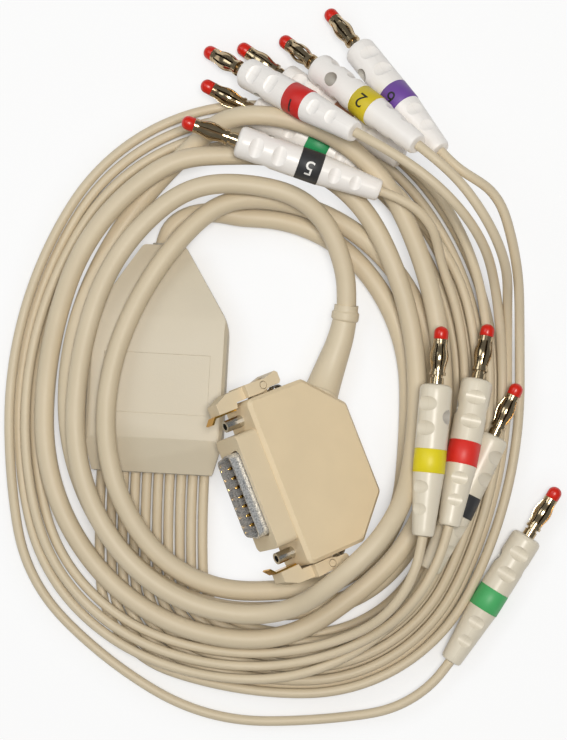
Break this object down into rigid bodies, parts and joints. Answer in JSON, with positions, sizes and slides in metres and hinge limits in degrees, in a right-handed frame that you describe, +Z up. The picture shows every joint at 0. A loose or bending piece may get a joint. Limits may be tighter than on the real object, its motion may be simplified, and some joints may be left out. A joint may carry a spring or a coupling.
{
  "type": "ecg patient cable",
  "caption": "Coiled patient cable for an ECG recorder: trunk cord with a latching D connector, flat yoke and lead wires with colour-banded spring plugs.",
  "frame": {"origin": "plan centre of the box of the rigid pieces, at the surface the cable lies on", "axes": "+Z up from the surface, +Y up the picture, along the longest extent, +X to the right of the picture"},
  "size_m": [0.1597, 0.2067, 0.0361],
  "materials": {
    "cord_jacket": "satin",
    "boot": "satin",
    "yoke_shell": "satin",
    "rubber_grey": "matte",
    "hood_shell": "satin",
    "shroud": "satin",
    "lever": "satin",
    "insulator": "matte",
    "nickel": "polished",
    "steel": "satin",
    "gold": "polished",
    "red_tip": "gloss",
    "limb_grip": "satin",
    "chest_grip": "satin",
    "limb_yellow_band": "satin",
    "limb_red_band": "satin",
    "limb_black_band": "satin",
    "limb_green_band": "satin",
    "chest_violet_band": "satin",
    "chest_yellow_band": "satin",
    "chest_red_band": "satin",
    "chest_brown_band": "satin",
    "chest_green_band": "satin",
    "chest_black_band": "satin"
  },
  "bodies": {
    "cable_set": {"limb_yellow_grip": "limb_grip", "limb_yellow_ring": "limb_yellow_band", "limb_yellow_lead": "cord_jacket", "chest_black_grip": "chest_grip", "chest_black_ring": "chest_black_band", "chest_black_lead": "cord_jacket", "limb_red_grip": "limb_grip", "limb_red_ring": "limb_red_band", "limb_red_lead": "cord_jacket", "chest_green_grip": "chest_grip", "chest_green_ring": "chest_green_band", "chest_green_lead": "cord_jacket", "limb_black_grip": "limb_grip", "limb_black_ring": "limb_black_band", "limb_black_lead": "cord_jacket", "chest_brown_grip": "chest_grip", "chest_brown_ring": "chest_brown_band", "chest_brown_lead": "cord_jacket", "limb_green_grip": "limb_grip", "limb_green_ring": "limb_green_band", "limb_green_lead": "cord_jacket", "chest_red_grip": "chest_grip", "chest_red_ring": "chest_red_band", "chest_red_lead": "cord_jacket", "chest_yellow_grip": "chest_grip", "chest_yellow_ring": "chest_yellow_band", "chest_yellow_lead": "cord_jacket", "chest_violet_grip": "chest_grip", "chest_violet_ring": "chest_violet_band", "chest_violet_lead": "cord_jacket", "trunk_cable": "cord_jacket", "cable_boot": "boot", "yoke_upper_shell": "yoke_shell", "yoke_lower_shell": "yoke_shell", "yoke_bushing": "rubber_grey", "yoke_lead_gland": "rubber_grey", "hood_upper_shell": "hood_shell", "hood_lower_shell": "hood_shell", "hood_screws": "steel", "front_shroud": "shroud", "dsub_shell": "nickel", "dsub_insulator": "insulator", "dsub_contacts": "gold", "flange_posts": "nickel", "latch_pin_upper": "steel", "latch_pin_lower": "steel", "latch_spring_upper": "steel", "latch_spring_lower": "steel", "plug_pins": "nickel", "lantern_springs": "nickel", "plug_tips": "red_tip"},
    "upper_latch": {"latch_lever_upper": "lever", "latch_hook_upper": "gold"},
    "lower_latch": {"latch_lever_lower": "lever", "latch_hook_lower": "gold"}
  },
  "joints": [
    {"name": "upper_latch_press", "type": "hinge", "parent": "cable_set", "child": "upper_latch", "pos_m": [-0.01943, -0.01482, 0.0175], "axis": [-0.4658, -0.1816, -0.866], "range_deg": [0, 6], "stiffness_Nm_per_rad": 0.02, "springref_deg": -5.73, "deforming": ["latch_spring_upper"]},
    {"name": "lower_latch_press", "type": "hinge", "parent": "cable_set", "child": "lower_latch", "pos_m": [-0.00011, -0.06438, 0.0175], "axis": [0.4658, 0.1816, 0.866], "range_deg": [0, 6], "stiffness_Nm_per_rad": 0.02, "springref_deg": -5.73, "deforming": ["latch_spring_lower"]}
  ]
}
